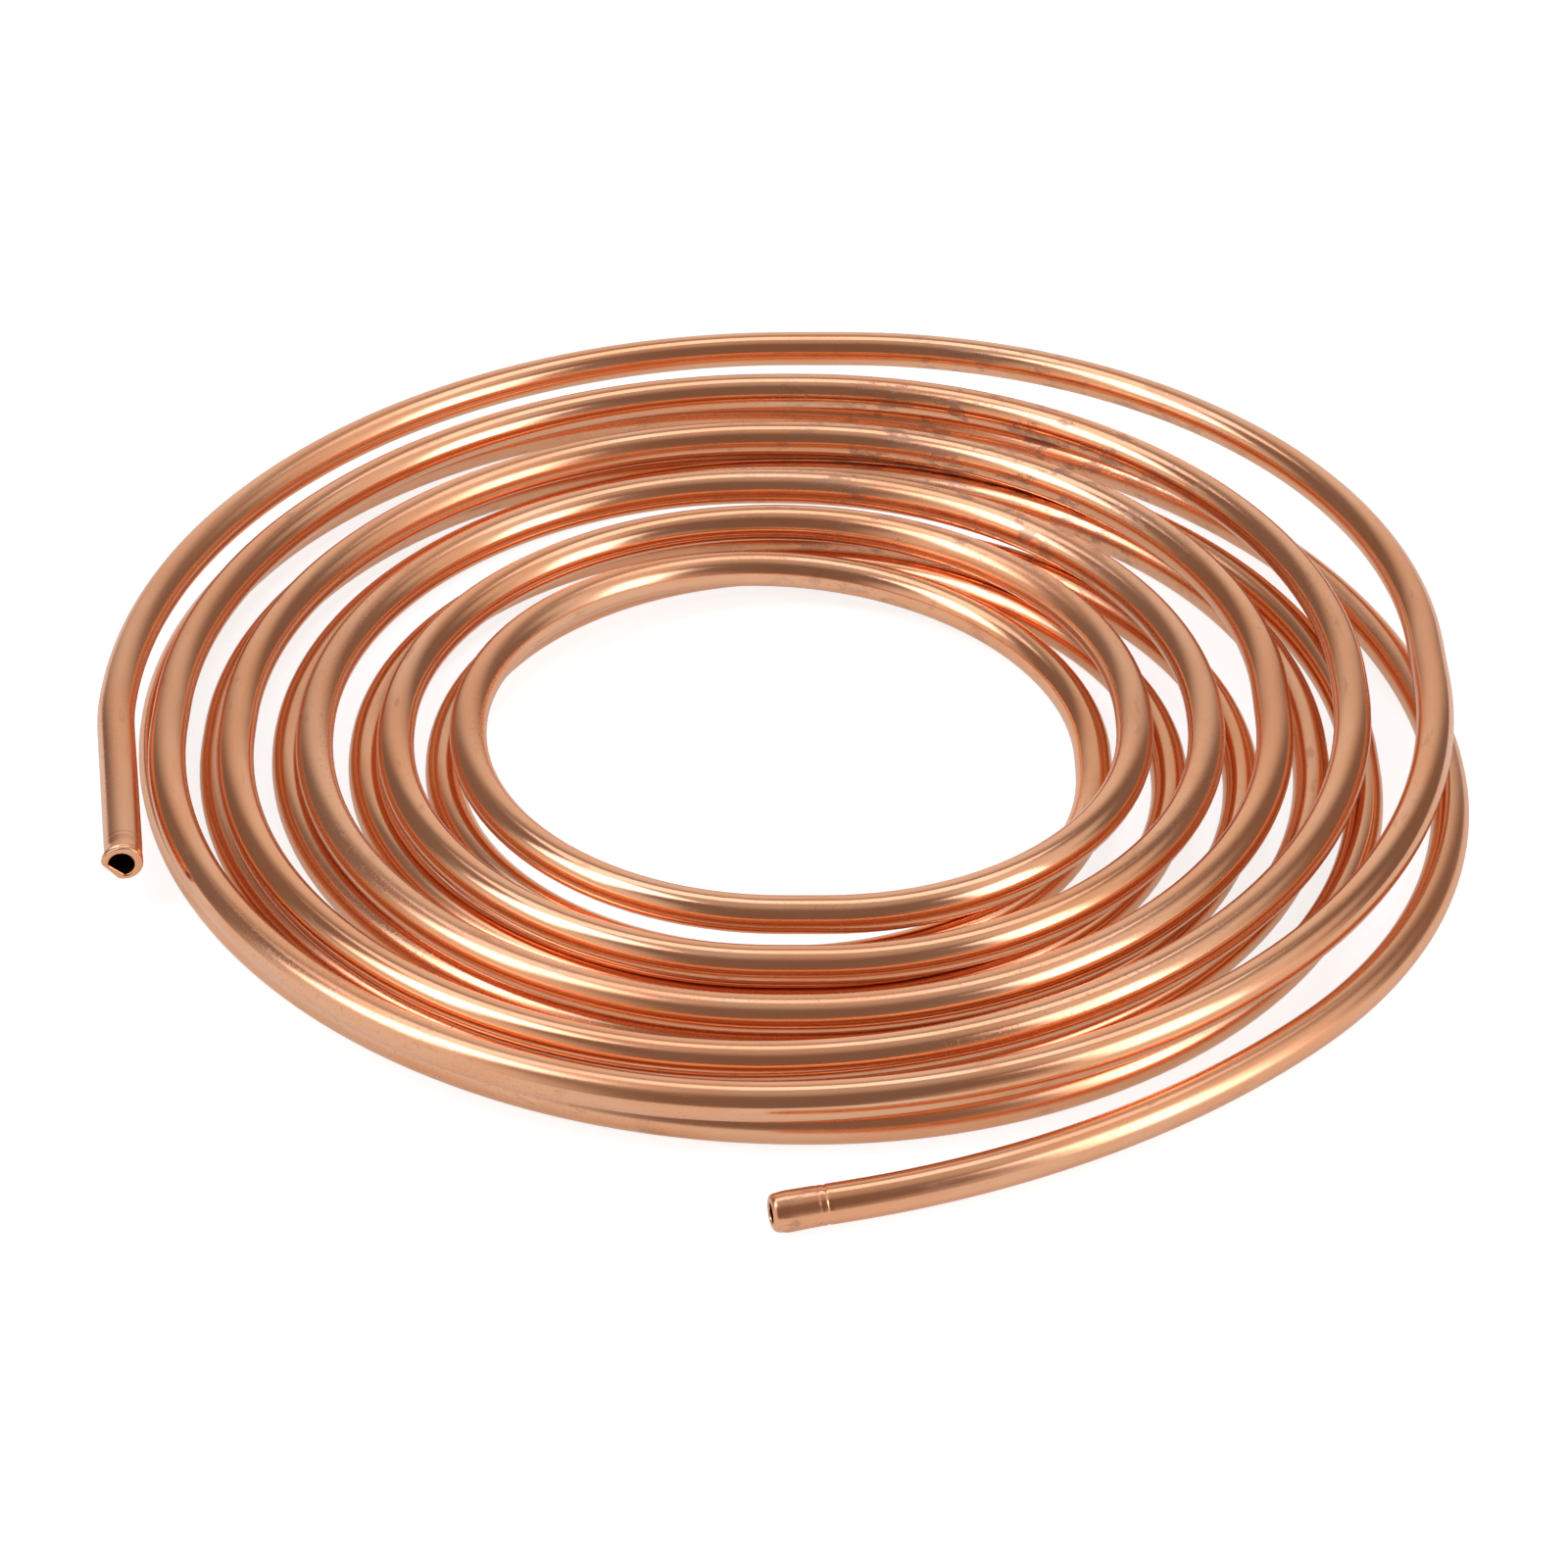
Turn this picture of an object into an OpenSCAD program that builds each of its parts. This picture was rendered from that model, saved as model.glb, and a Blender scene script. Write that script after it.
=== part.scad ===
// Loose coil of soft copper brake line.
// One bare tube, wound as a flat spiral from the outside in, led down one layer on an inclined
// half turn, and wound out again underneath. Every bend is a piece of true torus, and a short
// straight length comes before some of them, where the soft tube has sprung open.
// +Z is up, and the origin is at the middle of the coil's underside. Sizes are in millimetres.

/* [Tube] */
// Outside diameter of the tube
tube_d = 6; // [4:0.05:6.5]
// Wall thickness
wall_t = 0.9; // [0.5:0.05:1.5]

/* [Upper layer, wound inwards: bend radii] */
// First turn: its left-back, back-right, right-front and front-left quarters
upper_1 = [109, 94.5, 108, 96]; // [60:0.5:130]
// Second turn
upper_2 = [97.5, 89.5, 95.5, 84]; // [60:0.5:130]
// Third turn
upper_3 = [85, 77.5, 77, 74.5]; // [60:0.5:130]
// Fourth turn
upper_4 = [71, 69.5, 63.5, 61]; // [50:0.5:130]
// Fifth turn
upper_5 = [60.5, 58, 50, 50.5]; // [45:0.5:130]

/* [Upper layer: straight lengths before those bends] */
// First turn
upper_1_runs = [1.5, 9.5, 10.5, 0]; // [0:0.5:12]
// Second turn
upper_2_runs = [5, 3.5, 4, 0]; // [0:0.5:12]
// Third turn
upper_3_runs = [4, 4, 7.5, 2.5]; // [0:0.5:12]
// Fourth turn
upper_4_runs = [1, 2.5, 1.5, 5.5]; // [0:0.5:12]
// Fifth turn
upper_5_runs = [1.5, 0, 2.5, 6.5]; // [0:0.5:12]

/* [Step down] */
// Distance across the inclined half turn
step_across = 100.5; // [94:0.5:102]
// Clear gap between the two layers
layer_gap = 0.3; // [0.2:0.05:2]

/* [Lower layer, wound outwards: bend radii] */
// First turn: its right-front, front-left, left-back and back-right quarters
lower_1 = [50.5, 54, 56, 60.5]; // [45:0.5:130]
// Second turn
lower_2 = [58.5, 66, 63, 70]; // [50:0.5:130]
// Third turn
lower_3 = [70, 79, 80, 81.5]; // [60:0.5:130]
// Fourth turn
lower_4 = [83, 87, 84, 90.5]; // [60:0.5:130]
// Fifth turn
lower_5 = [88.5, 104.5, 94.5, 112]; // [60:0.5:130]

/* [Lower layer: straight lengths before those bends] */
// First turn
lower_1_runs = [4.5, 0, 1, 0]; // [0:0.5:12]
// Second turn
lower_2_runs = [1.5, 4.5, 1, 7.5]; // [0:0.5:12]
// Third turn
lower_3_runs = [0, 4, 0, 3]; // [0:0.5:12]
// Fourth turn
lower_4_runs = [3.5, 6, 3.5, 9.5]; // [0:0.5:12]
// Fifth turn
lower_5_runs = [5, 1.5, 0, 1.5]; // [0:0.5:12]

/* [Upper free end] */
// Bend radius where the end leaves the coil
upper_end_r = 60; // [40:5:250]
// Angle of that bend
upper_end_angle = 8; // [2:0.5:10]
// Straight length left
upper_tail = 36.5; // [8:0.5:50]
// Rounding of the cut edge
upper_edge_r = 0.3; // [0.1:0.05:0.4]
// How far the cut draws its mouth in, all round
upper_pinch = 0.1; // [0.05:0.05:0.5]

/* [Lower free end] */
// Bend radius where the end leaves the coil
lower_end_r = 91.5; // [80:0.5:130]
// Angle of that bend
lower_end_angle = 45; // [40:1:60]
// Bend radius of the wider bend after it
lower_last_r = 150; // [120:5:300]
// Angle of the wider bend
lower_last_angle = 31; // [10:1:40]
// Straight length left
lower_tail = 12; // [8:0.5:60]
// Rounding of the cut edge, rolled over by the tube cutter
lower_edge_r = 0.8; // [0.1:0.05:1]
// How far the cutter has drawn its mouth in, all round
lower_pinch = 0.5; // [0.05:0.05:0.6]

/* [Hidden] */

section_facets = 20;
turn_facets = 48;
seam_length = 2;
seam_overlap = 0.02;
edge_steps = 6;
pinch_depth = 2 * wall_t;

upper = concat(upper_1, upper_2, upper_3, upper_4, upper_5);
upper_runs = concat(upper_1_runs, upper_2_runs, upper_3_runs, upper_4_runs, upper_5_runs);
lower = concat(lower_1, lower_2, lower_3, lower_4, lower_5);
lower_runs = concat(lower_1_runs, lower_2_runs, lower_3_runs, lower_4_runs, lower_5_runs);
lower_z = tube_d / 2;
drop = tube_d + layer_gap;
upper_z = lower_z + drop;
tilt = atan(drop / step_across);
step_r = norm([step_across, drop]) / 2;

// Directions that a clockwise coil meets in turn: away, right, near, left.
WAYS = [[0, 1], [1, 0], [0, -1], [-1, 0]];
function way(k) = WAYS[k % 4];

// How far the centre line has come before leg k of a winding that sets off along way(first).
// A leg is a straight length and the quarter bend after it.
function reach(radii, runs, first, k) = k == 0
    ? [0, 0]
    : reach(radii, runs, first, k - 1)
        + (runs[k - 1] + radii[k - 1]) * way(first + k - 1)
        + radii[k - 1] * way(first + k);

// The corners of a winding: where each of its legs starts, and where the last one stops.
function corners(start, first, radii, runs) = [
    for (k = [0:len(radii)]) start + reach(radii, runs, first, k)
];

upper_start = [0, 0];
upper_corners = corners(upper_start, 0, upper, upper_runs);
step_from = upper_corners[len(upper)];
lower_start = step_from + [step_across, 0];
lower_first = len(upper) + 2;
lower_corners = corners(lower_start, lower_first, lower, lower_runs);
lower_end_start = lower_corners[len(lower)];

// The upper end comes in to the first corner, and the lower one runs on past the last.
upper_end = upper_end_r * [1 - cos(upper_end_angle), -sin(upper_end_angle)];
upper_tip = upper_end + upper_tail * [sin(upper_end_angle), -cos(upper_end_angle)];
lower_turned = lower_end_angle + lower_last_angle;
lower_end = lower_end_start
    + lower_end_r * [cos(lower_end_angle) - 1, -sin(lower_end_angle)];
lower_last = lower_end
    + lower_last_r * [cos(lower_turned) - cos(lower_end_angle), sin(lower_end_angle) - sin(lower_turned)];
lower_tip = lower_last - lower_tail * [sin(lower_turned), cos(lower_turned)];

// Middle of the whole coil. The tube is widest at the corners, or at a tip.
marks = concat(upper_corners, lower_corners, [upper_tip, lower_tip]);
xs = [for (m = marks) m[0]];
ys = [for (m = marks) m[1]];
middle = [min(xs) + max(xs), min(ys) + max(ys)] / 2;

// The tube's wall in section.
module wall(extra = 0) {
    difference() {
        circle(d = tube_d + 2 * extra, $fn = section_facets);
        circle(d = tube_d - 2 * wall_t - 2 * extra, $fn = section_facets);
    }
}

// A flat bend about the origin, from angle start round to start + angle.
module flat_bend(radius, angle, start) {
    rotate_extrude(angle = angle, start = start, $fn = turn_facets)
        translate([radius, 0])
            wall();
}

// A straight length and a quarter bend that set off clockwise from a point along way(k).
module leg(from, z, k, radius, straight) {
    centre = from + straight * way(k) + radius * way(k + 1);
    if (straight > 0)
        translate([from[0], from[1], z])
            rotate([-90, 0, -90 * (k % 4)])
                linear_extrude(straight)
                    wall();
    translate([centre[0], centre[1], z])
        flat_bend(radius, 90, 90 - 90 * (k % 4));
}

// A winding of such legs.
module winding(points, z, first, radii, runs) {
    for (k = [0:len(radii) - 1])
        leg(points[k], z, first + k, radii[k], runs[k]);
}

// A hair-thick collar along +Z that closes the seam where two bends or a bend and a tip meet.
module seam() {
    translate([0, 0, -seam_length / 2])
        linear_extrude(seam_length)
            wall(seam_overlap);
}

// The same collar on a joint that runs along Y.
module seam_at(at, z) {
    translate([at[0], at[1], z])
        rotate([90, 0, 0])
            seam();
}

// The inclined half turn between the layers, which leaves and arrives level.
module step_down() {
    seam_at(step_from, upper_z);
    translate([step_from[0], step_from[1], upper_z])
        rotate([0, tilt, 0])
            translate([step_r, 0, 0])
                flat_bend(step_r, 180, 0);
    seam_at(lower_start, lower_z);
}

// A straight tip along +Z with its cut edge rounded over and its mouth drawn in.
module tip(length, edge_r, pinch) {
    outer_r = tube_d / 2;
    bore_r = outer_r - wall_t;
    rounding = [
        for (i = [0:edge_steps])
            let (a = 90 * i / edge_steps)
            [outer_r - edge_r * (1 - cos(a)), length - edge_r * (1 - sin(a))]
    ];
    mouth = [[bore_r - pinch, length], [bore_r, length - pinch_depth], [bore_r, 0]];
    rotate_extrude($fn = turn_facets)
        polygon(concat([[outer_r, 0]], rounding, mouth));
    seam();
}

// The upper end, back to its tip: one slight bend and a straight length.
module upper_free_end() {
    translate([upper_end_r, 0, upper_z]) {
        flat_bend(upper_end_r, upper_end_angle, 180);
        rotate([0, 0, 180 + upper_end_angle])
            translate([upper_end_r, 0, 0])
                rotate([-90, 0, 0])
                    tip(upper_tail, upper_edge_r, upper_pinch);
    }
}

// The lower end, out to its tip: two bends, the second one wider, and a straight length.
module lower_free_end() {
    translate([lower_end_start[0] - lower_end_r, lower_end_start[1], lower_z]) {
        flat_bend(lower_end_r, lower_end_angle, -lower_end_angle);
        rotate([0, 0, -lower_end_angle])
            translate([lower_end_r - lower_last_r, 0, 0]) {
                seam_at([lower_last_r, 0], 0);
                flat_bend(lower_last_r, lower_last_angle, -lower_last_angle);
                rotate([0, 0, -lower_last_angle])
                    translate([lower_last_r, 0, 0])
                        rotate([90, 0, 0])
                            tip(lower_tail, lower_edge_r, lower_pinch);
            }
    }
}

module tube() {
    color("peru")
        translate([-middle[0], -middle[1], 0]) {
            upper_free_end();
            winding(upper_corners, upper_z, 0, upper, upper_runs);
            step_down();
            winding(lower_corners, lower_z, lower_first, lower, lower_runs);
            lower_free_end();
        }
}

tube();
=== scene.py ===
"""A loose coil of bare copper brake line on a white studio floor. Metres, +Z is up."""

import math

import bpy
import numpy as np
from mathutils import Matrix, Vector


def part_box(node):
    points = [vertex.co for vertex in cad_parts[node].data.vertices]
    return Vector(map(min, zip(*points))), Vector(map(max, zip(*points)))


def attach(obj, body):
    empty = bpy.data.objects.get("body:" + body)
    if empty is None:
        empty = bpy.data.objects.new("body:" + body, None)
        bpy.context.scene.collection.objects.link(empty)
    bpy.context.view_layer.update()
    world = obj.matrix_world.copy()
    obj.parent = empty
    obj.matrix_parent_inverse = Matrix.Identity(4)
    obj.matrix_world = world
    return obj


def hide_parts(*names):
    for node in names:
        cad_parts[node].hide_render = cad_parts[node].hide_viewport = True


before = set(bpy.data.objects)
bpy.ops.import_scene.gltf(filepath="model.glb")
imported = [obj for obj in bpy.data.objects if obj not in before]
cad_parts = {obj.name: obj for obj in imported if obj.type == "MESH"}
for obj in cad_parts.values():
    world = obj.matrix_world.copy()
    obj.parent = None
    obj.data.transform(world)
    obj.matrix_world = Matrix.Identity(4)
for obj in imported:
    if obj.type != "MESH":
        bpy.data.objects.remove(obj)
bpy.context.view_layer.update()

MM = 0.001
UP = np.array((0.0, 0.0, 1.0))

# ---- The tube, as the part's source has it ---------------------------------------------------

TUBE_R = 3 * MM
BORE_R = 2.1 * MM
LAYER_DROP = 6.3 * MM

# Bend radii of the quarter turns in mm: the upper layer inwards, the lower one outwards.
# A program fitted these to the photo, and most of the sizes from here down to LOWER_END.
UPPER = (
    (109, 94.5, 108, 96),
    (97.5, 89.5, 95.5, 84),
    (85, 77.5, 77, 74.5),
    (71, 69.5, 63.5, 61),
    (60.5, 58, 50, 50.5),
)
LOWER = (
    (50.5, 54, 56, 60.5),
    (58.5, 66, 63, 70),
    (70, 79, 80, 81.5),
    (83, 87, 84, 90.5),
    (88.5, 104.5, 94.5, 112),
)

# Straight lengths before those bends, in mm.
UPPER_RUNS = (
    (1.5, 9.5, 10.5, 0),
    (5, 3.5, 4, 0),
    (4, 4, 7.5, 2.5),
    (1, 2.5, 1.5, 5.5),
    (1.5, 0, 2.5, 6.5),
)
LOWER_RUNS = (
    (4.5, 0, 1, 0),
    (1.5, 4.5, 1, 7.5),
    (0, 4, 0, 3),
    (3.5, 6, 3.5, 9.5),
    (5, 1.5, 0, 1.5),
)

# Across the half turn that steps down from one layer to the other.
STEP_ACROSS = 100.5 * MM

# Straight lengths at the free ends, and the slighter bends next to them as (radius, degrees).
UPPER_TAIL = 36.5 * MM
LOWER_TAIL = 12 * MM
UPPER_END = (60 * MM, 8)
LOWER_END = ((91.5 * MM, 45), (150 * MM, 31))

# ---- The skin over it ------------------------------------------------------------------------

# Round the tube, angle 0 is outwards from the bend's centre and a quarter turn on is up.
SIDES = 36
ANGLES = np.arange(SIDES) * 2 * np.pi / SIDES
RING_STEP = 3 * MM
BORE_EVERY = 3  # the bore can't be seen, so it keeps one ring in three
END_LENGTH = 9.5 * MM  # of the fine relief at each cut

# For that relief in mm: the tube's radii, and the rounding of each cut edge.
OUTER, BORE = TUBE_R / MM, BORE_R / MM
UPPER_EDGE_R, LOWER_EDGE_R = 0.3, 0.8

# The texture map's rows for the outside of the tube, and the share of a row kept free at its rim.
MAP_ROWS = 17
MAP_EDGE = 0.015


def unit(v):
    return np.asarray(v) / np.linalg.norm(v)


class Route:
    """The tube's centre line, as stations with a place, a heading and the length so far."""

    def __init__(self, place, heading):
        self.place = np.array(place, float)
        self.heading = unit(heading)
        self.length = 0.0
        self.stations = []

    def mark(self):
        self.stations.append((self.place.copy(), self.heading.copy(), self.length))

    def straight(self, length):
        steps = math.ceil(length / RING_STEP)
        start, first = self.place.copy(), self.length
        for i in range(steps):
            self.place = start + self.heading * length * i / steps
            self.length = first + length * i / steps
            self.mark()
        self.place = start + self.heading * length
        self.length = first + length

    def bend(self, radius, angle, normal=UP):
        """A clockwise bend about an axis along normal."""
        length = radius * math.radians(angle)
        steps = math.ceil(length / RING_STEP)
        start, ahead, first = self.place.copy(), self.heading.copy(), self.length
        inward = np.cross(ahead, normal)
        for i in range(steps + 1):
            a = math.radians(angle) * i / steps
            self.place = start + radius * (ahead * math.sin(a) + inward * (1 - math.cos(a)))
            self.heading = ahead * math.cos(a) + inward * math.sin(a)
            self.length = first + length * i / steps
            if i < steps:
                self.mark()

    def wind(self, radii, runs):
        """Turns of a straight length and a quarter bend, four times each."""
        for radius, run in zip(sum(radii, ()), sum(runs, ())):
            self.straight(run * MM)
            self.bend(radius * MM, 90)


def tube_route():
    """From the upper layer's free end, inwards, down one layer and out to the lower free end."""
    lean = math.radians(UPPER_END[1])
    route = Route((0, 0, TUBE_R + LAYER_DROP), (-math.sin(lean), math.cos(lean), 0))
    route.straight(UPPER_TAIL)
    route.bend(*UPPER_END)
    route.wind(UPPER, UPPER_RUNS)
    tilt = math.atan2(LAYER_DROP, STEP_ACROSS)
    route.bend(math.hypot(STEP_ACROSS, LAYER_DROP) / 2, 180, (math.sin(tilt), 0, math.cos(tilt)))
    route.wind(LOWER, LOWER_RUNS)
    for radius, angle in LOWER_END:
        route.bend(radius, angle)
    route.straight(LOWER_TAIL)
    route.mark()
    return route.stations


def section_frame(heading):
    """Sideways away from the bend's centre, and up, both square to the heading."""
    side = unit(np.cross(UP, heading))
    return side, np.cross(heading, side)


def in_cad_place(stations):
    """The stations moved so that the tube fills the CAD node's box."""
    low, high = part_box("tube")
    places = np.array([s[0] for s in stations])
    shift = np.array((
        (low[0] + high[0] - places[:, 0].min() - places[:, 0].max()) / 2,
        high[1] - TUBE_R - places[:, 1].max(),
        0,
    ))
    return [(place + shift, heading, along) for place, heading, along in stations]


class Skin:
    """One closed skin of rings: along the outside of the tube, round its cut end and back inside.

    Each vertex keeps its place in the unbent tube, and each ring its distance along the skin.
    """

    def __init__(self):
        self.points = []
        self.unbent = []
        self.run = []

    def ring(self, station, radii, out=0.0):
        """A ring across the tube, moved out along it. radii is one number, or one per side."""
        place, heading, along = station
        side, up = section_frame(heading)
        radii = np.broadcast_to(radii, SIDES)
        x, y = radii * np.cos(ANGLES), radii * np.sin(ANGLES)
        self.points.append(place + heading * out + np.outer(x, side) + np.outer(y, up))
        unbent = np.column_stack((np.full(SIDES, along + out), x, y))
        step = np.linalg.norm(unbent - self.unbent[-1], axis=1).mean() if self.unbent else 0.0
        self.run.append(self.run[-1] + step if self.run else 0.0)
        self.unbent.append(unbent)

    def mesh(self, name, inside_from):
        """The skin as a mesh. Rings from inside_from on lie in the bore."""
        rings = len(self.points)
        ring = np.arange(rings)[:, None]
        k = np.arange(SIDES)[None, :]
        after, beside = (ring + 1) % rings, (k + 1) % SIDES
        near, far = ring * SIDES, after * SIDES
        corners = (near + k, far + k, far + beside, near + beside)
        faces = np.stack([c + np.zeros((rings, SIDES), int) for c in corners], axis=-1)
        mesh = bpy.data.meshes.new(name)
        mesh.from_pydata(np.concatenate(self.points).tolist(), [], faces.reshape(-1, 4).tolist())
        mesh.shade_smooth()
        unbent = mesh.attributes.new("unbent", "FLOAT_VECTOR", "POINT")
        unbent.data.foreach_set("vector", np.concatenate(self.unbent).astype(np.float32).ravel())
        self.unwrap(mesh, inside_from)
        return mesh

    def unwrap(self, mesh, inside_from):
        """A map of even rows: lengths of the tube's outside, and the bore in the last row."""
        rings = len(self.run)
        run = np.array([*self.run, self.run[-1]])
        row_length = run[inside_from] / MAP_ROWS
        ring = np.arange(rings)
        row = np.floor((run[:-1] + run[1:]) / 2 / row_length)
        start, stop = run[:-1] / row_length - row, run[1:] / row_length - row
        bore = ring >= inside_from
        row[bore] = MAP_ROWS
        start[bore] = (ring[bore] - inside_from) / (rings - inside_from)
        stop[bore] = (ring[bore] + 1 - inside_from) / (rings - inside_from)
        u = np.stack([start, stop, stop, start], axis=-1)[:, None, :]
        k = np.arange(SIDES)[:, None] / SIDES
        v = np.concatenate([k, k, k + 1 / SIDES, k + 1 / SIDES], axis=-1)[None]
        v = (row[:, None, None] + MAP_EDGE + (1 - 2 * MAP_EDGE) * v) / (MAP_ROWS + 1)
        places = np.stack(np.broadcast_arrays(MAP_EDGE + (1 - 2 * MAP_EDGE) * u, v), axis=-1)
        layer = mesh.uv_layers.new(name="OFBake")
        layer.uv.foreach_set("vector", places.astype(np.float32).ravel())


def fade(value, start, stop):
    """From 0 at start to 1 at stop, with soft ends."""
    t = np.clip((value - start) / (stop - start), 0, 1)
    return t * t * (3 - 2 * t)


def dip(value, middle, width):
    """1 at the middle, and falling to nothing on both sides."""
    return np.exp(-(((value - middle) / width) ** 2))


def upper_outside(d):
    """Outer radii in mm at d mm from the upper cut: a raised lip, flared and hammered flat."""
    groove = 0.28 * dip(d, 0.78, 0.18)
    scratch = 0.03 * dip(d, 4.4, 0.15)
    waist = 0.06 * dip(d, 2.6, 1.1)
    flare = 0.6 * fade(d, 2.6, 0.5) * np.maximum(np.cos(ANGLES - math.radians(4)), 0) ** 3
    radii = OUTER - groove - scratch - waist + flare
    flat = 2.62 / np.maximum(np.cos(ANGLES + math.radians(40)), 0.5)
    return radii + fade(d, 2.4, 0.6) * (np.minimum(radii, flat) - radii)


def upper_mouth(d):
    """Bore radii in mm at d mm from the upper cut: pushed left and down, and shaped like a D."""
    flat = 1.68 / np.maximum(np.cos(ANGLES + math.radians(48)), 0.5)
    pushed = 0.42 * np.cos(ANGLES) - 0.25 * np.sin(ANGLES) - 0.12
    radii = BORE + fade(d, 2.4, 0.6) * pushed
    return radii + fade(d, 3.5, 1.2) * (np.minimum(radii, flat) - radii)


def lower_outside(d):
    """Outer radii in mm at d mm from the lower cut: the cutter's marks, a bulge and a neck."""
    marks = 0.07 * dip(d, 7.1, 0.16) + 0.12 * dip(d, 8.2, 0.24) + 0.02 * dip(d, 7.6, 0.3)
    bulge = 0.12 * dip(d, 2.6, 1.8) * np.maximum(np.cos(ANGLES + math.radians(45)), 0) ** 3
    neck = 0.22 * fade(d, 2.6, 0.2)
    in_cad_height = OUTER / np.maximum(np.abs(np.sin(ANGLES)), 0.5)
    return np.minimum(OUTER - marks + bulge - neck, in_cad_height)


def lower_mouth(d):
    """Bore radii in mm at d mm from the lower cut: drawn in by the cutter."""
    return np.full(SIDES, BORE) - 0.5 * fade(d, 1.8, 0.1)


# Distances in mm from a cut end: along the outside, and on inside the mouth.
OUTSIDE = (*np.arange(END_LENGTH / MM - 0.3, 0.85, -0.2), 0.8, 0.7, 0.6, 0.5, 0.4, 0.3)
INSIDE = (0.4, 0.6, 0.9, 1.3, 1.8, 2.4, 3.0, 3.6, 4.2)


def end_profile(outside, mouth, edge_r):
    """Rings as (radii, distance) in mm: along the outside, over the edge and into the bore."""
    rings = [(outside(d), d) for d in OUTSIDE if d > edge_r]
    for angle in np.radians((0, 15, 30, 45, 60, 75, 90)):
        back = edge_r * (1 - math.sin(angle))
        rings.append((outside(back) - edge_r * (1 - math.cos(angle)), back))
    edge, hole = rings[-1][0], mouth(0.25)
    for share, back in ((0.3, 0.0), (0.55, 0.03), (0.8, 0.1), (1.0, 0.25)):
        rings.append((edge + share * (hole - edge), back))
    return rings + [(mouth(d), d) for d in INSIDE]


def tube_mesh(stations):
    """The whole skin: upper end, turns, lower end, and the bore back to the start."""
    first, last = stations[0][2] + END_LENGTH, stations[-1][2] - END_LENGTH
    middle = [s for s in stations if first < s[2] < last]
    upper = end_profile(upper_outside, upper_mouth, UPPER_EDGE_R)
    lower = end_profile(lower_outside, lower_mouth, LOWER_EDGE_R)
    skin = Skin()
    for radii, back in reversed(upper):
        skin.ring(stations[0], radii * MM, back * MM)
    for station in middle:
        skin.ring(station, TUBE_R)
    for radii, back in lower:
        skin.ring(stations[-1], radii * MM, -back * MM)
    inside_from = len(skin.run) - 1
    for station in middle[::-BORE_EVERY]:
        skin.ring(station, BORE_R)
    return skin.mesh("copper_tube", inside_from)


# ---- Copper ----------------------------------------------------------------------------------

BRIGHT = (0.96, 0.54, 0.32)
WARM = (0.94, 0.47, 0.25)
BROWN = (0.55, 0.29, 0.18)
DARK = (0.46, 0.26, 0.18)

# Tarnish from handling: its middle, and how far it is full and where it has faded out.
HANDLED = (0.035, 0.075, 0.01)
HANDLED_FULL, HANDLED_RIM = 0.015, 0.06

# The scuffs and tarnish at the lower cut reach back to the cutter's marks.
CUTTER_MARKS = (7.3 * MM, 6.8 * MM)


class Nodes:
    """Short ways to add nodes to a tree."""

    def __init__(self, tree):
        self.tree = tree
        tree.nodes.clear()

    def add(self, kind, inputs=None, **settings):
        node = self.tree.nodes.new(kind)
        for name, value in settings.items():
            setattr(node, name, value)
        for name, value in (inputs or {}).items():
            if isinstance(value, bpy.types.NodeSocket):
                self.tree.links.new(value, node.inputs[name])
            else:
                node.inputs[name].default_value = value
        return node

    def math(self, operation, a, b):
        return self.add("ShaderNodeMath", {0: a, 1: b}, operation=operation).outputs[0]

    def times(self, a, b):
        return self.math("MULTIPLY", a, b)

    def total(self, first, *others):
        for other in others:
            first = self.math("ADD", first, other)
        return first

    def spread(self, value, low, high, to_low=0.0, to_high=1.0):
        """A soft step: to_low up to low, and to_high from high on."""
        ends = {"From Min": low, "From Max": high, "To Min": to_low, "To Max": to_high}
        return self.add(
            "ShaderNodeMapRange", {"Value": value, **ends}, interpolation_type="SMOOTHSTEP"
        ).outputs["Result"]

    def mix(self, share, a, b):
        """The colour a, with that share of b laid over it."""
        node = self.add("ShaderNodeMix", {"Factor": share}, data_type="RGBA")
        for name, value in (("A", a), ("B", b)):
            socket = next(s for s in node.inputs if s.name == name and s.type == "RGBA")
            if isinstance(value, bpy.types.NodeSocket):
                self.tree.links.new(value, socket)
            else:
                socket.default_value = (*value, 1.0)
        return next(s for s in node.outputs if s.type == "RGBA")


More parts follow.
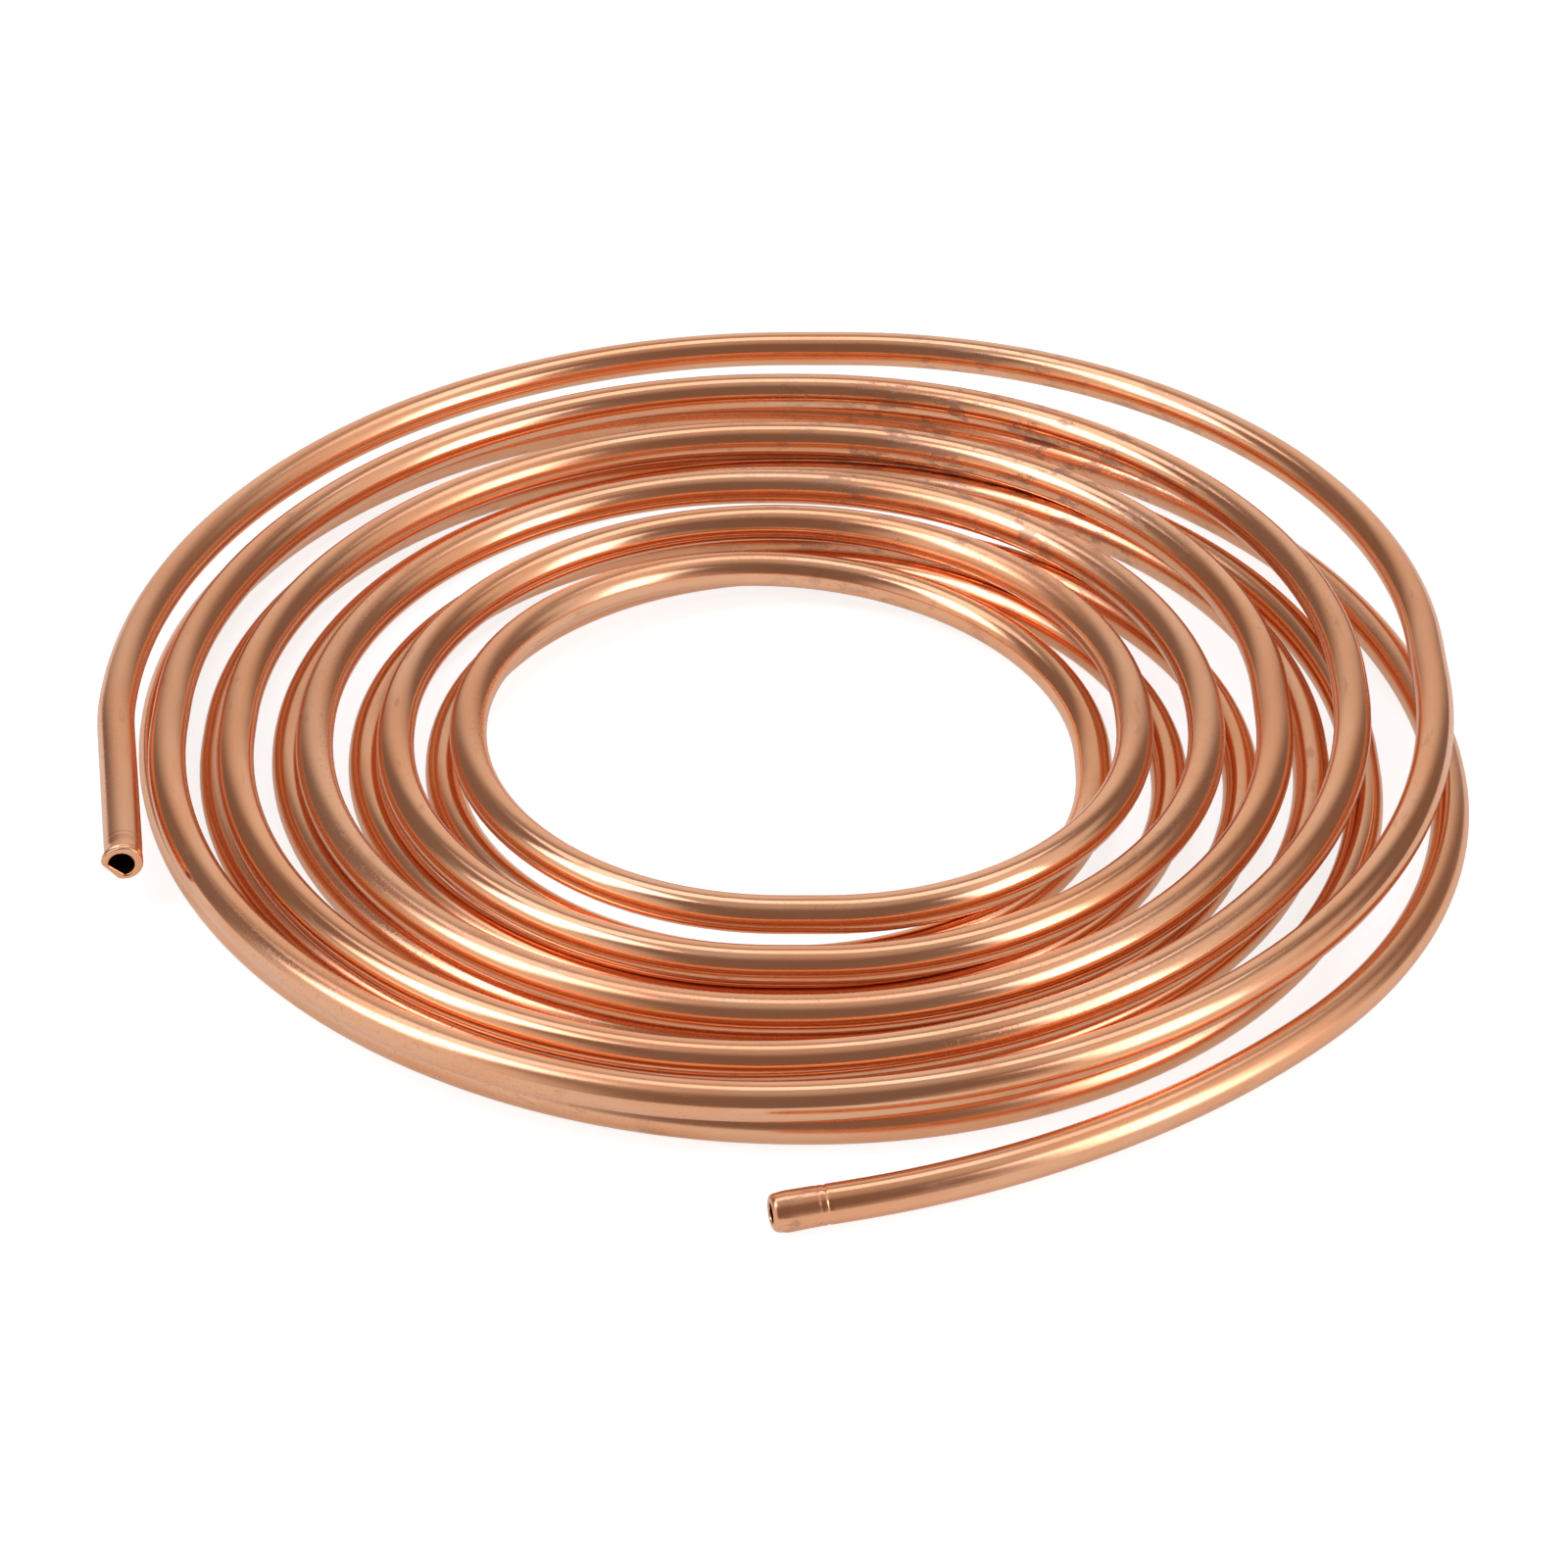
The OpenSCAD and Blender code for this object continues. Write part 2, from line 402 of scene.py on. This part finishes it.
def copper_material(length):
    """Soft drawn copper on a tube of that length. Every pattern follows the unbent tube."""
    material = bpy.data.materials.new("soft_copper")
    material.use_nodes = True
    n = Nodes(material.node_tree)
    place = n.add("ShaderNodeAttribute", attribute_name="unbent").outputs["Vector"]

    def noise(along, across, detail, roughness, seed):
        """Noise with so many features per millimetre along the tube and across it."""
        mapped = n.add(
            "ShaderNodeMapping",
            {
                "Vector": place,
                "Scale": (along / MM, across / MM, across / MM),
                "Location": (seed, seed * 0.7, seed * 0.3),
            },
        ).outputs["Vector"]
        return n.add(
            "ShaderNodeTexNoise",
            {"Vector": mapped, "Scale": 1.0, "Detail": detail, "Roughness": roughness},
        ).outputs["Fac"]

    # Over the whole length: polish, soft clouds, draw lines, bending waves and fine grain.
    polish = noise(0.01, 0.04, 1.0, 0.5, 5.0)
    cloud = noise(0.035, 0.16, 3.0, 0.6, 3.0)
    lines = noise(0.03, 1.3, 2.0, 0.6, 11.0)
    waves = noise(0.07, 0.13, 1.0, 0.4, 23.0)
    grain = noise(2.6, 3.4, 2.0, 0.6, 29.0)

    # In places: brown stains, pits where the tube is worn, and ticks across it.
    stain = n.spread(noise(0.11, 0.35, 4.0, 0.65, 41.0), 0.60, 0.74)
    worn = n.spread(noise(0.012, 0.1, 2.0, 0.5, 57.0), 0.50, 0.66)
    pits = n.times(n.spread(noise(1.5, 1.8, 3.0, 0.7, 71.0), 0.56, 0.66), worn)
    ticked = n.spread(noise(0.03, 0.12, 1.0, 0.5, 97.0), 0.50, 0.62)
    ticks = n.times(noise(2.4, 0.22, 2.0, 0.6, 19.0), ticked)

    # Next to the cuts: scuffs. There and where the coil was handled: tarnish.
    along = n.add("ShaderNodeSeparateXYZ", {"Vector": place}).outputs["X"]
    upper_cut = n.spread(along, 6 * MM, 25 * MM, 1.0, 0.0)
    lower_cut = n.spread(along, length - CUTTER_MARKS[0], length - CUTTER_MARKS[1])
    scuffs = n.times(noise(0.2, 2.4, 4.0, 0.7, 7.0), n.math("MAXIMUM", upper_cut, lower_cut))
    where = n.add("ShaderNodeTexCoord").outputs["Object"]
    apart = n.add("ShaderNodeVectorMath", {0: where, 1: HANDLED}, operation="DISTANCE")
    handled = n.spread(apart.outputs["Value"], HANDLED_FULL, HANDLED_RIM, 1.0, 0.0)
    handled = n.math("MAXIMUM", handled, n.times(lower_cut, 0.7))
    tarnish = n.times(handled, n.spread(noise(0.16, 0.32, 4.0, 0.7, 83.0), 0.52, 0.62))

    base = n.mix(n.spread(cloud, 0.35, 0.65), WARM, BRIGHT)
    base = n.mix(n.times(stain, 0.45), base, BROWN)
    base = n.mix(n.times(pits, 0.35), base, BROWN)
    base = n.mix(n.times(tarnish, 0.8), base, DARK)
    roughness = n.total(
        n.spread(polish, 0.4, 0.6, 0.20, 0.13),
        n.spread(cloud, 0.3, 0.7, 0.05, 0.0),
        n.spread(lines, 0.3, 0.7, -0.02, 0.03),
        n.times(stain, 0.10),
        n.times(pits, 0.12),
        n.times(tarnish, 0.16),
        n.times(scuffs, 0.08),
    )
    height = n.total(
        n.times(lines, 0.0035),
        n.times(grain, 0.0008),
        n.times(waves, 0.05),
        n.times(ticks, 0.004),
        n.times(pits, -0.003),
        n.times(scuffs, 0.008),
    )
    normal = n.add(
        "ShaderNodeBump", {"Height": height, "Distance": MM, "Strength": 1.0}
    ).outputs["Normal"]

    shader = n.add(
        "ShaderNodeBsdfPrincipled",
        {"Base Color": base, "Metallic": 1.0, "Roughness": roughness, "Normal": normal},
    )
    n.add("ShaderNodeOutputMaterial", {"Surface": shader.outputs[0]})
    return material


# ---- Studio ----------------------------------------------------------------------------------

FLOOR_GREY = 0.50
FLOOR_GLOW = (0.975, 1, 1, 1)
FLOOR_LIFT = 0.8  # brings the lit floor up to white in the picture
MIRRORED_SHARE = 0.45  # of that lift, in what the copper mirrors

ROOM_COLOUR = (1, 0.74, 0.66, 1)
ROOM_STRENGTH = 0.21

# Pale things that the copper mirrors: azimuth, elevation, core and rim in degrees, and strength.
GLOWS = (
    (0, 12, 12, 42, 0.56),
    (-116, 10, 12, 42, 0.58),
    (88, 46, 8, 28, 0.55),
    (140, -5, 10, 30, 0.2),
    (0, 82, 10, 40, 0.3),
    (108, 6, 8, 34, 0.6),
)

LAMP_COLOUR = (1, 1, 1.15)  # a little cool, against the warm room


def camera_or_mirror_ray(n):
    """1 where the camera sees the floor, and MIRRORED_SHARE where metal or glass shows it."""
    path = n.add("ShaderNodeLightPath").outputs
    mirrored = n.math("MAXIMUM", path["Is Glossy Ray"], path["Is Transmission Ray"])
    return n.math("MAXIMUM", path["Is Camera Ray"], n.times(mirrored, MIRRORED_SHARE))


def make_floor():
    """A floor that is white in the picture and keeps the coil's shadow."""
    half = 3.0
    corners = [(-half, -half, 0), (half, -half, 0), (half, half, 0), (-half, half, 0)]
    mesh = bpy.data.meshes.new("studio_floor")
    mesh.from_pydata(corners, [], [(0, 1, 2, 3)])
    floor = bpy.data.objects.new("studio_floor", mesh)
    bpy.context.scene.collection.objects.link(floor)
    material = bpy.data.materials.new("white_floor")
    material.use_nodes = True
    n = Nodes(material.node_tree)
    grey = (FLOOR_GREY, FLOOR_GREY, FLOOR_GREY, 1)
    matt = n.add("ShaderNodeBsdfDiffuse", {"Color": grey}).outputs[0]
    lift = n.times(camera_or_mirror_ray(n), FLOOR_LIFT)
    glow = n.add("ShaderNodeEmission", {"Color": FLOOR_GLOW, "Strength": lift}).outputs[0]
    both = n.add("ShaderNodeAddShader", {0: matt, 1: glow}).outputs[0]
    n.add("ShaderNodeOutputMaterial", {"Surface": both})
    mesh.materials.append(material)


def make_world():
    """A dim warm room with soft glows in it, white to the camera."""
    world = bpy.data.worlds.new("studio")
    bpy.context.scene.world = world
    world.use_nodes = True
    n = Nodes(world.node_tree)
    towards = n.add("ShaderNodeTexCoord").outputs["Generated"]
    glow = 0.0
    for *angles, strength in GLOWS:
        azimuth, elevation, core, rim = (math.radians(a) for a in angles)
        level = math.cos(elevation)
        ahead = (level * math.sin(azimuth), level * math.cos(azimuth), math.sin(elevation))
        near = n.add("ShaderNodeVectorMath", {0: towards, 1: ahead}, operation="DOT_PRODUCT")
        lobe = n.spread(near.outputs["Value"], math.cos(rim), math.cos(core), 0.0, strength)
        glow = n.math("ADD", glow, lobe)
    camera = n.add("ShaderNodeLightPath").outputs["Is Camera Ray"]
    glow = n.math("MAXIMUM", glow, camera)
    room = n.add(
        "ShaderNodeBackground", {"Color": ROOM_COLOUR, "Strength": ROOM_STRENGTH}
    ).outputs[0]
    lights = n.add("ShaderNodeBackground", {"Color": (1, 1, 1, 1), "Strength": glow}).outputs[0]
    both = n.add("ShaderNodeAddShader", {0: room, 1: lights}).outputs[0]
    n.add("ShaderNodeOutputWorld", {"Surface": both})


def softbox(name, place, aim, width, height, radiance):
    """A rectangular lamp facing aim, with the same radiance whatever its size."""
    light = bpy.data.lights.new(name, "AREA")
    light.shape = "RECTANGLE"
    light.size, light.size_y = width, height
    light.energy = radiance * math.pi * width * height
    light.color = LAMP_COLOUR
    lamp = bpy.data.objects.new(name, light)
    lamp.location = place
    lamp.rotation_euler = (Vector(aim) - Vector(place)).to_track_quat("-Z", "Y").to_euler()
    bpy.context.scene.collection.objects.link(lamp)


def make_lamps():
    """Softboxes at both sides and above the back. The brighter cores hang just in front."""
    softbox("softbox_left", (-0.905, -0.19, 1.1), (0, 0, 0), 0.75, 1.1, 1.4)
    softbox("softbox_left_core", (-0.87, -0.18, 1.06), (0, 0, 0), 0.44, 0.8, 2.2)
    softbox("softbox_right", (1.16, -0.62, 0.62), (0, 0, 0), 0.65, 1.2, 1.35)
    softbox("softbox_right_core", (1.12, -0.6, 0.6), (0, 0, 0), 0.42, 0.8, 1.4)
    softbox("softbox_above", (-0.08, 0.55, 1.28), (-0.08, 0.55, 0), 1.4, 0.6, 0.98)


def make_camera():
    """The photo's view, from in front and above."""
    # The same fit gave the height, the distance, the aim and the lens.
    elevation, distance = math.radians(35.68), 0.821
    aim = Vector((0.0007, -0.0056, 0.0))
    data = bpy.data.cameras.new("camera")
    data.lens, data.sensor_width = 117.0, 36.0
    data.clip_start, data.clip_end = 0.05, 20.0
    camera = bpy.data.objects.new("camera", data)
    away = Vector((0, -math.cos(elevation), math.sin(elevation)))
    camera.location = aim + distance * away
    camera.rotation_euler = (-away).to_track_quat("-Z", "Y").to_euler()
    bpy.context.scene.collection.objects.link(camera)
    bpy.context.scene.camera = camera


# ---- Scene -----------------------------------------------------------------------------------

make_camera()
make_world()
make_lamps()
make_floor()

stations = in_cad_place(tube_route())
tube = bpy.data.objects.new("copper_tube", tube_mesh(stations))
bpy.context.scene.collection.objects.link(tube)
tube.data.materials.append(copper_material(stations[-1][2]))
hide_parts("tube")
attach(tube, "root")

bpy.context.scene.view_settings.view_transform = "Standard"
